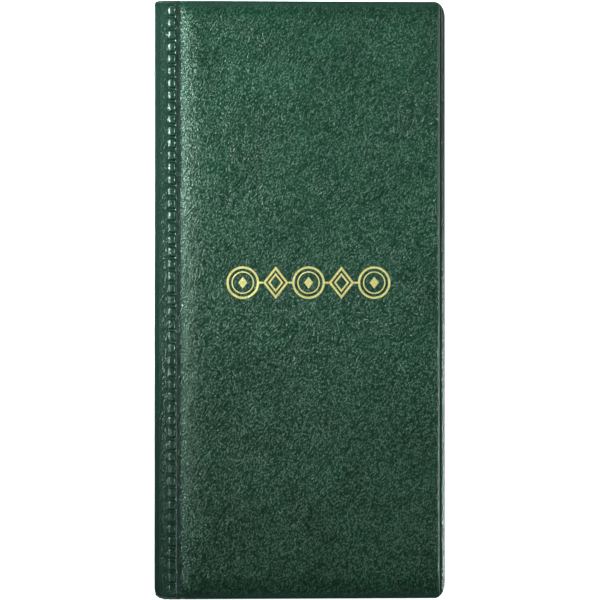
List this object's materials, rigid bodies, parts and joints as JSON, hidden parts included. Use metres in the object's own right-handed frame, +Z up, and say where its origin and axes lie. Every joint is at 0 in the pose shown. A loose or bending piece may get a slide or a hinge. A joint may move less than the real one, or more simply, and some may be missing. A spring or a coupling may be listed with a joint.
{
  "type": "coin album",
  "caption": "Tall narrow pocket album for coins: padded imitation leather covers folding on a flat spine, and clear film leaves with pockets that turn between them.",
  "frame": {"origin": "on the surface the closed album lies on, under the middle of its outline", "axes": "+X from the spine to the fore-edge, +Y to the head, +Z up from the back cover to the front cover"},
  "size_m": [0.119, 0.245, 0.0166],
  "materials": {
    "green_vinyl": "semi-gloss dark green PVC imitation leather, fine pebbled grain with creases, heat-welded edges",
    "inner_vinyl": "satin dark green PVC lining film",
    "padding_foam": "open-cell padding foam, cream",
    "grey_board": "grey binder's board",
    "clear_film": "clear flexible PVC film, slightly cloudy, with pressed weld lines",
    "gold_foil": "hot-stamped gold foil, slightly speckled by the grain"
  },
  "bodies": {
    "back_cover": {"back_cover_skin": "green_vinyl", "back_cover_foam_pad": "padding_foam", "back_cover_board": "grey_board", "back_cover_lining": "inner_vinyl"},
    "spine": {"spine_skin": "green_vinyl", "spine_board": "grey_board", "spine_lining": "inner_vinyl", "leaf_binding_tape": "inner_vinyl", "leaf_welded_margins": "clear_film"},
    "front_cover": {"front_cover_skin": "green_vinyl", "front_cover_foam_pad": "padding_foam", "front_cover_board": "grey_board", "front_cover_lining": "inner_vinyl", "front_cover_foil_ornament": "gold_foil"},
    "leaf_1": {"leaf_1_backing_film": "clear_film", "leaf_1_pocket_film": "clear_film"},
    "leaf_2": {"leaf_2_backing_film": "clear_film", "leaf_2_pocket_film": "clear_film"},
    "leaf_3": {"leaf_3_backing_film": "clear_film", "leaf_3_pocket_film": "clear_film"},
    "leaf_4": {"leaf_4_backing_film": "clear_film", "leaf_4_pocket_film": "clear_film"},
    "leaf_5": {"leaf_5_backing_film": "clear_film", "leaf_5_pocket_film": "clear_film"},
    "leaf_6": {"leaf_6_backing_film": "clear_film", "leaf_6_pocket_film": "clear_film"},
    "leaf_7": {"leaf_7_backing_film": "clear_film", "leaf_7_pocket_film": "clear_film"},
    "leaf_8": {"leaf_8_backing_film": "clear_film", "leaf_8_pocket_film": "clear_film"}
  },
  "joints": [
    {"name": "back_corner_fold", "type": "hinge", "parent": "back_cover", "child": "spine", "pos_m": [-0.0579, 0, 0.0032], "axis": [0, -1, 0], "range_deg": [0, 90]},
    {"name": "front_corner_fold", "type": "hinge", "parent": "spine", "child": "front_cover", "pos_m": [-0.0579, 0, 0.0132], "axis": [0, -1, 0], "range_deg": [0, 90]},
    {"name": "leaf_1_turn", "type": "hinge", "parent": "spine", "child": "leaf_1", "pos_m": [-0.0496, 0, 0.01162], "axis": [0, -1, 0], "range_deg": [0, 84]},
    {"name": "leaf_2_turn", "type": "hinge", "parent": "spine", "child": "leaf_2", "pos_m": [-0.0496, 0, 0.01057], "axis": [0, -1, 0], "range_deg": [0, 75]},
    {"name": "leaf_3_turn", "type": "hinge", "parent": "spine", "child": "leaf_3", "pos_m": [-0.0496, 0, 0.00953], "axis": [0, -1, 0], "range_deg": [0, 66]},
    {"name": "leaf_4_turn", "type": "hinge", "parent": "spine", "child": "leaf_4", "pos_m": [-0.0496, 0, 0.00847], "axis": [0, -1, 0], "range_deg": [0, 57]},
    {"name": "leaf_5_turn", "type": "hinge", "parent": "spine", "child": "leaf_5", "pos_m": [-0.0496, 0, 0.00743], "axis": [0, -1, 0], "range_deg": [-57, 0]},
    {"name": "leaf_6_turn", "type": "hinge", "parent": "spine", "child": "leaf_6", "pos_m": [-0.0496, 0, 0.00637], "axis": [0, -1, 0], "range_deg": [-66, 0]},
    {"name": "leaf_7_turn", "type": "hinge", "parent": "spine", "child": "leaf_7", "pos_m": [-0.0496, 0, 0.00532], "axis": [0, -1, 0], "range_deg": [-75, 0]},
    {"name": "leaf_8_turn", "type": "hinge", "parent": "spine", "child": "leaf_8", "pos_m": [-0.0496, 0, 0.00428], "axis": [0, -1, 0], "range_deg": [-84, 0]}
  ],
  "couplings": [
    {"joint": "front_corner_fold", "follows": "back_corner_fold", "ratio": 1},
    {"joint": "leaf_1_turn", "follows": "back_corner_fold", "ratio": 0.9333},
    {"joint": "leaf_2_turn", "follows": "back_corner_fold", "ratio": 0.8333},
    {"joint": "leaf_3_turn", "follows": "back_corner_fold", "ratio": 0.7333},
    {"joint": "leaf_4_turn", "follows": "back_corner_fold", "ratio": 0.6333},
    {"joint": "leaf_5_turn", "follows": "back_corner_fold", "ratio": -0.6333},
    {"joint": "leaf_6_turn", "follows": "back_corner_fold", "ratio": -0.7333},
    {"joint": "leaf_7_turn", "follows": "back_corner_fold", "ratio": -0.8333},
    {"joint": "leaf_8_turn", "follows": "back_corner_fold", "ratio": -0.9333}
  ]
}
